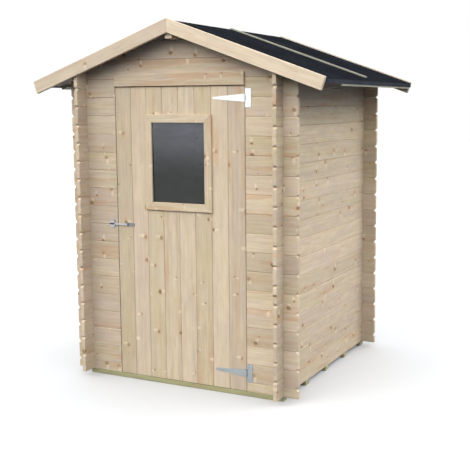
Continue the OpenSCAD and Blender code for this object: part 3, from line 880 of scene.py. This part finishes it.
# %% Felt sheets
FELT_T = 0.003
FOLD_R = 0.0045
FELT_PLAY = 0.0001
WAVE_H = 0.0004
WAVES = ((9, 7), (17, -5), (31, 3), (5, 13))
STILL_REACH = 0.08
UNDER_SHARE = 0.2
FELT_CREASE = math.radians(50)
RIDGE_STEPS = 60
SLOPE_STEPS, FOLD_STEPS, FLAP_STEPS = 40, 7, 6
batten_y = np.mean([c[1] for c in corners("right_roof_batten")])
flap_z = corners("right_felt")[0][2]
flap_x = corners("right_felt")[1][0] - FELT_T / 2


def felt_path():
    """Middle line of the felt on the right: straight down the slope, round the fold, and down the flap."""
    mid = (deck_top + FELT_PLAY + FELT_T / 2) / math.cos(pitch)
    centre_x = flap_x - FOLD_R
    turn = np.linspace(math.pi / 2 - pitch, 0, FOLD_STEPS)
    centre_z = roof_under(centre_x + FOLD_R * math.cos(turn[0])) + mid - FOLD_R * math.sin(turn[0])
    arc = np.stack([centre_x + FOLD_R * np.cos(turn), centre_z + FOLD_R * np.sin(turn)], -1)
    slope_x = np.linspace(0, arc[0, 0], SLOPE_STEPS)[:-1]
    straight = np.stack([slope_x, roof_under(slope_x) + mid], -1)
    down = np.linspace(arc[-1, 1], flap_z, FLAP_STEPS)[1:]
    flap = np.stack([np.full(len(down), flap_x), down], -1)
    return np.concatenate([straight, arc, flap])


def felt_sheet(side):
    """Rings of one felt: the path moved out and in by half the thickness, with low waves along the ridge.

    The waves are a sum of sines along the ridge and down the slope. They die away under the batten, and the
    underside follows a small share of them.
    """
    path = felt_path()
    run = np.gradient(path, axis=0)
    normal = np.stack([-run[:, 1], run[:, 0]], -1) / np.linalg.norm(run, axis=1, keepdims=True)
    places = np.linspace(half_len, -half_len, RIDGE_STEPS)
    length = np.append(0, np.cumsum(np.linalg.norm(np.diff(path, axis=0), axis=1)))
    phase = rng.random(len(WAVES)) * 2 * math.pi
    wave = sum(np.sin(a * places[:, None] + b * length + p) for (a, b), p in zip(WAVES, phase))
    wave = WAVE_H * (wave / 2 + 1) * np.minimum(1, np.abs(places[:, None] - batten_y) / STILL_REACH)
    outer = path + normal * (FELT_T / 2 + wave[..., None])
    inner = path - normal * (FELT_T / 2 - wave[..., None] * UNDER_SHARE)
    loop = np.concatenate([outer, inner[:, ::-1]], 1)
    loop = loop[:, ::-1] if side > 0 else loop
    return carry_along_y(loop * (side, 1), places)


for side, name in SIDES:
    piece = make_mesh(f"{name}_felt_sheet", [felt_sheet(side)])
    piece.data.shade_smooth()
    piece.data.set_sharp_from_angle(angle=FELT_CREASE)
    fit_piece(piece, felt.material, "roofing_felt", "shed", f"{name}_felt")
    print(piece.name, len(piece.data.polygons), "faces")

# %% [markdown]
# ## Glass
# The pane is a plain sheet and its CAD solid already has the right form, so only its finish is made. Black
# paint would do for the closed door, but not for the open one. So light passes through the pane, and the
# dark room behind darkens it. Its colour also carries a painted reflection: dark at the foot, lighter and
# bluer towards the top, with faint mottling.

# %% Glass finish
DARK_SHARE = 0.3


def coat(node, finish):
    """Gives a CAD node that stays a finish of its own."""
    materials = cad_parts[node].data.materials
    materials.clear()
    materials.append(finish)


glass = Finish("dark_glass")
glass_height = glass.parts(glass.object_place())[2]
dark_top = pane_low[2] + DARK_SHARE * (pane_high[2] - pane_low[2])
# Painted reflection: the pane's colour rises from dark at the foot to pale blue at the top, with mottling.
painted_reflection = glass.ramp(glass_height, dark_top, pane_high[2])
reflection_mottle = glass.noise(glass.object_place(), (4, 4, 7), 3.0)
painted_reflection = glass.plus(painted_reflection, glass.times(glass.minus(reflection_mottle, 0.5), 0.5))
# Colours of the painted reflection: dark green at the foot, pale blue at the top.
glass.set(Base_Color=glass.blend(painted_reflection, (0.08, 0.09, 0.065), (0.80, 0.84, 0.94)))
glass.set(Roughness=0.02, IOR=1.5, Specular_IOR_Level=0.2, Transmission_Weight=0.93)
coat("window_pane", glass.material)
print("glass on the pane, dark up to", round(dark_top, 3), "m")

# %% [markdown]
# ## Ironmongery
# The hinges, the hasp and its staple are galvanised sheet and wire. Zinc cools in flat crystals, which show
# as faint patches of grey that shine a little differently. The upper hinge is lighter than the lower one, a
# painted highlight, and the plate of the hasp and the loop of the staple are darker than the rest, painted
# shade. The CAD solids stay, because bent sheet and wire are already true there, and screws with crossed
# slots hold them.

# %% Zinc finish on the CAD solids
FLAKES_PER_M = 240


def zinc_finish(name, dark, light, painted_shade_ramp=None):
    """Galvanised finish between two greys: flat crystals of differing tone and polish, and faint scuffs.

    The last argument gives an axis, two places on it and tone shares before and after, for painted shade.
    """
    f = Finish(name)
    place = f.object_place()
    flake = f.parts(f.cells(place, (FLAKES_PER_M,) * 3)[1]["Color"])[0]
    scuff = f.noise(place, (60, 60, 400), 3.0)
    colour = f.blend(flake, dark, light)
    # Painted shade: the metal is darkened past a place on one axis.
    if painted_shade_ramp:
        colour = f.blend(1.0, colour, f.ramp(f.parts(place)[painted_shade_ramp[0]], *painted_shade_ramp[1:]), "MULTIPLY")
    f.set(Base_Color=colour, Metallic=1.0)
    f.set(Roughness=f.plus(f.ramp(flake, 0, 1, 0.34, 0.46), f.ramp(scuff, 0.4, 0.8, 0, 0.08)))
    f.set(Normal=f.bump(scuff, 0.0002, 0.4))
    return f.material


# The upper hinge's zinc is lighter than the lower one's: a painted highlight.
painted_highlight_zinc = zinc_finish("painted_highlight_zinc", (0.78, 0.80, 0.80), (0.88, 0.89, 0.88))
dull_zinc = zinc_finish("dull_zinc", (0.33, 0.37, 0.39), (0.45, 0.49, 0.51))
hasp_low, hasp_high = corners("hasp")
staple_low, staple_high = corners("staple")
HASP_PLATE = 0.048
HASP_BLEND = 0.002
LOOP_BLEND = 0.003
AXIS_X, AXIS_Y = 0, 1
plate_edge = hasp_high[0] - HASP_PLATE
loop_start = staple_high[1] - LOOP_BLEND
# Painted shade: the hasp's plate is darker than its strap, and the staple's loop far darker than its plate.
hasp_plate_painted_shade = (AXIS_X, plate_edge - HASP_BLEND, plate_edge, 1, 0.5)
staple_loop_painted_shade = (AXIS_Y, loop_start - LOOP_BLEND, loop_start, 0.22, 1)
hasp_zinc = zinc_finish("hasp_zinc", (0.42, 0.42, 0.43), (0.56, 0.56, 0.57), hasp_plate_painted_shade)
staple_zinc = zinc_finish("staple_zinc", (0.40, 0.40, 0.44), (0.55, 0.55, 0.60), staple_loop_painted_shade)
for node, metal in (("upper_hinge_plate", painted_highlight_zinc), ("upper_hinge_strap", painted_highlight_zinc),
                    ("lower_hinge_plate", dull_zinc), ("lower_hinge_strap", dull_zinc),
                    ("staple", staple_zinc), ("hasp", hasp_zinc)):
    coat(node, metal)
    print("zinc on", node)

# %% Screw heads
SCREW_R = 0.0042
SCREW_H = 0.0014
SCREW_RIM = 0.0004
SLOT_HALF = 0.14
SLOT_REACH = 0.62
SLOT_FLOOR = 0.35
HEAD_RINGS, HEAD_POINTS = 10, 32


def screw_heads(places, turns):
    """Domed screw heads that face the front: height = rim + dome * (1 - r * r), less a crossed slot.

    r runs over the rings of a polar grid and the angle round each ring. Two rows close the head below.
    """
    r = np.concatenate([np.linspace(0, 1, HEAD_RINGS), [1, 0]])
    angle = np.linspace(0, 2 * math.pi, HEAD_POINTS, endpoint=False)
    u, v = r[:, None] * np.cos(angle), r[:, None] * np.sin(angle)
    height = SCREW_RIM + (SCREW_H - SCREW_RIM) * (1 - u * u - v * v)
    upright = np.maximum(np.abs(u) / SLOT_HALF, np.abs(v) / SLOT_REACH)
    level = np.maximum(np.abs(v) / SLOT_HALF, np.abs(u) / SLOT_REACH)
    height = np.where(np.minimum(upright, level) < 1, height * SLOT_FLOOR, height)
    height[-2:] = 0
    turn = np.reshape(turns, (-1, 1, 1))
    x = SCREW_R * (u * np.cos(turn) - v * np.sin(turn))
    z = SCREW_R * (u * np.sin(turn) + v * np.cos(turn))
    rings = np.stack([x, np.broadcast_to(-height, x.shape), z], -1)
    return (rings + np.reshape(places, (-1, 1, 1, 3)))[:, ::-1]


def screws(name, body, metal, places):
    """Piece of screw heads at the given places on the faces that they hold."""
    rings = screw_heads(np.array(places), rng.random(len(places)) * math.pi)
    piece = make_mesh(name, [rings])
    print(name, len(places), "screws")
    fit_piece(piece, metal, "galvanised_steel", body)


print("screw heads", 2 * SCREW_R, "m across")

# %% Screws in place
STRAP_SCREWS = (0.034, 0.09, 0.155)
PLATE_SCREWS = (-0.036, 0, 0.036)
HASP_SCREWS = (0.012, 0.034)
STAPLE_SCREW_X, STAPLE_SCREW_Z = 0.0122, 0.0192
SHEET_T = 0.0025
STAPLE_T = 0.002
sheet_face = corners("upper_hinge_plate")[1][1] - SHEET_T
for level, metal in (("upper", painted_highlight_zinc), ("lower", dull_zinc)):
    strap_end = corners(f"{level}_hinge_strap")[1][0]
    plate_low, plate_high = corners(f"{level}_hinge_plate")
    plate_x, plate_z = (plate_high[0] + open_half) / 2, (plate_low[2] + plate_high[2]) / 2
    on_strap = [(strap_end - d, sheet_face, plate_z) for d in STRAP_SCREWS]
    on_plate = [(plate_x, sheet_face, plate_z + d) for d in PLATE_SCREWS]
    screws(f"{level}_strap_screws", "door", metal, on_strap)
    screws(f"{level}_plate_screws", "shed", metal, on_plate)
hasp_z, staple_x = (hasp_low[2] + hasp_high[2]) / 2, (staple_low[0] + staple_high[0]) / 2
screws("hasp_screws", "door", hasp_zinc, [(hasp_high[0] - d, sheet_face, hasp_z) for d in HASP_SCREWS])
screws("staple_screws", "shed", staple_zinc,
       [(staple_x + dx, leaf_low[1] - STAPLE_T, hasp_z + dz)
        for dx in (-STAPLE_SCREW_X, STAPLE_SCREW_X) for dz in (-STAPLE_SCREW_Z, STAPLE_SCREW_Z)])

# %% [markdown]
# ## Studio
# The shed stands on a plain white floor under a white sky, as in a catalogue. Lamps alone would give hard
# shade, so nearly all light comes from the sky, which is brightest a third of the way up and a little
# dimmer and cooler at the front right and back left. That gives soft, deep shade under the eaves and in the
# corners. Rays that only show the sky or the floor find both plain white, and the floor sends back little
# light. One large lamp adds a touch from the front.

# %% Floor
FLOOR_HALF = 30.0
FLOOR_SEEN = (0.6, 0.6, 0.6)
FLOOR_BOUNCE = (0.015, 0.029, 0.052)
floor_mesh = bpy.data.meshes.new("studio_floor")
floor_corners = FLOOR_HALF * np.array([[-1, -1, 0], [1, -1, 0], [1, 1, 0], [-1, 1, 0]])
floor_mesh.from_pydata(floor_corners.tolist(), [], [[0, 1, 2, 3]])
studio_floor = stand("studio_floor", floor_mesh)
ground = Finish("studio_floor")
ground.set(Base_Color=ground.blend(ground.seen(), FLOOR_BOUNCE, FLOOR_SEEN))
ground.set(Roughness=0.9, Specular_IOR_Level=0.0)
floor_mesh.materials.append(ground.material)
print("floor", 2 * FLOOR_HALF, "m wide")

# %% Sky
SKY_PEAK = 4.75
DIM_WAY = (0.707, -0.707, 0)
DIM_LEVEL = 0.6
WHITE = (1, 1, 1)
world = bpy.data.worlds.new("studio_sky")
bpy.context.scene.world = world
world.use_nodes = True
sky = Nodes(world.node_tree)
sky_seen = sky.seen()
direction = sky.add("ShaderNodeTexCoord", {}).outputs["Generated"]
height = sky.parts(direction)[2]
level_way = sky.vector("NORMALIZE", sky.vector("MULTIPLY", direction, (1, 1, 0)))
dim_share = sky.math("ABSOLUTE", sky.dot(level_way, DIM_WAY))
glow = sky.times(sky.ramp(height, 0.0, 0.42, 0.03, 1.0), sky.ramp(height, 0.5, 1.0, 1.0, 0.2))
glow = sky.times(glow, sky.ramp(dim_share, 0.0, 1.0, 1.0, DIM_LEVEL))
lit = sky.times(sky.times(glow, SKY_PEAK), sky.minus(1.0, sky_seen))
way_tint = sky.blend(sky.ramp(dim_share, 0.0, 1.0), (1.025, 1.0, 0.93), (0.95, 0.995, 1.07))
low_tint = sky.blend(sky.ramp(height, 0.0, 0.5), (0.95, 0.985, 1.045), WHITE)
sky_tint = sky.blend(1.0, way_tint, low_tint, "MULTIPLY")
backdrop = world.node_tree.nodes["Background"]
sky.put(backdrop.inputs["Color"], sky.blend(sky_seen, sky_tint, WHITE))
sky.put(backdrop.inputs["Strength"], sky.plus(lit, sky_seen))
bpy.context.scene.view_settings.view_transform = "Standard"
print("sky", SKY_PEAK, "at its brightest, and 1 where it is seen")


# %% Lamp
def aim(forward, roll=0.0):
    """Axes of a camera or lamp that looks along forward, with its right side level before the roll."""
    forward = np.array(forward) / np.linalg.norm(forward)
    right = np.cross(forward, ALONG_Z)
    right /= np.linalg.norm(right)
    up = np.cross(right, forward)
    cos, sin = math.cos(roll), math.sin(roll)
    return np.column_stack([cos * right + sin * up, cos * up - sin * right, -forward])


def place_at(thing, position, axes):
    """World matrix of a camera or lamp from its position and axes."""
    matrix = np.eye(4)
    matrix[:3, :3] = axes
    matrix[:3, 3] = position
    thing.matrix_world = Matrix(matrix.tolist())


LAMP_PLACE = np.array([0.5, -7.5, 5.5])
LAMP_AIM = np.array([0, 0, 1.0])
lamp = bpy.data.lights.new("front_lamp", "AREA")
lamp.size = 4.0
lamp.energy = 66.0
place_at(stand("front_lamp", lamp), LAMP_PLACE, aim(LAMP_AIM - LAMP_PLACE))
print("lamp", lamp.energy, "W")

# %% [markdown]
# ## Camera
# The camera stands to the right of the door at eye height. Its place, turn and focal length were fitted to
# the plank joints of the photograph, whose middle isn't quite the middle of the frame, so a small shift
# remains.

# %% Camera
IMAGE_SIZE = 470
SENSOR_MM = 36.0
FOCAL_PX = 876.42
PRINCIPAL_PX = (262, 218)
CAMERA_PLACE = (2.5683, -4.8425, 1.6168)
CAMERA_YAW, CAMERA_PITCH, CAMERA_ROLL = (math.radians(a) for a in (26.029, 7.427, -0.264))
camera = bpy.data.cameras.new("camera")
camera.sensor_width = SENSOR_MM
camera.lens = FOCAL_PX / IMAGE_SIZE * SENSOR_MM
camera.shift_x = (IMAGE_SIZE / 2 - PRINCIPAL_PX[0]) / IMAGE_SIZE
camera.shift_y = (PRINCIPAL_PX[1] - IMAGE_SIZE / 2) / IMAGE_SIZE
camera_object = stand("camera", camera)
level = math.cos(CAMERA_PITCH)
view_line = (-math.sin(CAMERA_YAW) * level, math.cos(CAMERA_YAW) * level, -math.sin(CAMERA_PITCH))
place_at(camera_object, CAMERA_PLACE, aim(view_line, CAMERA_ROLL))
bpy.context.scene.camera = camera_object
print(f"camera {camera.lens:.1f} mm")
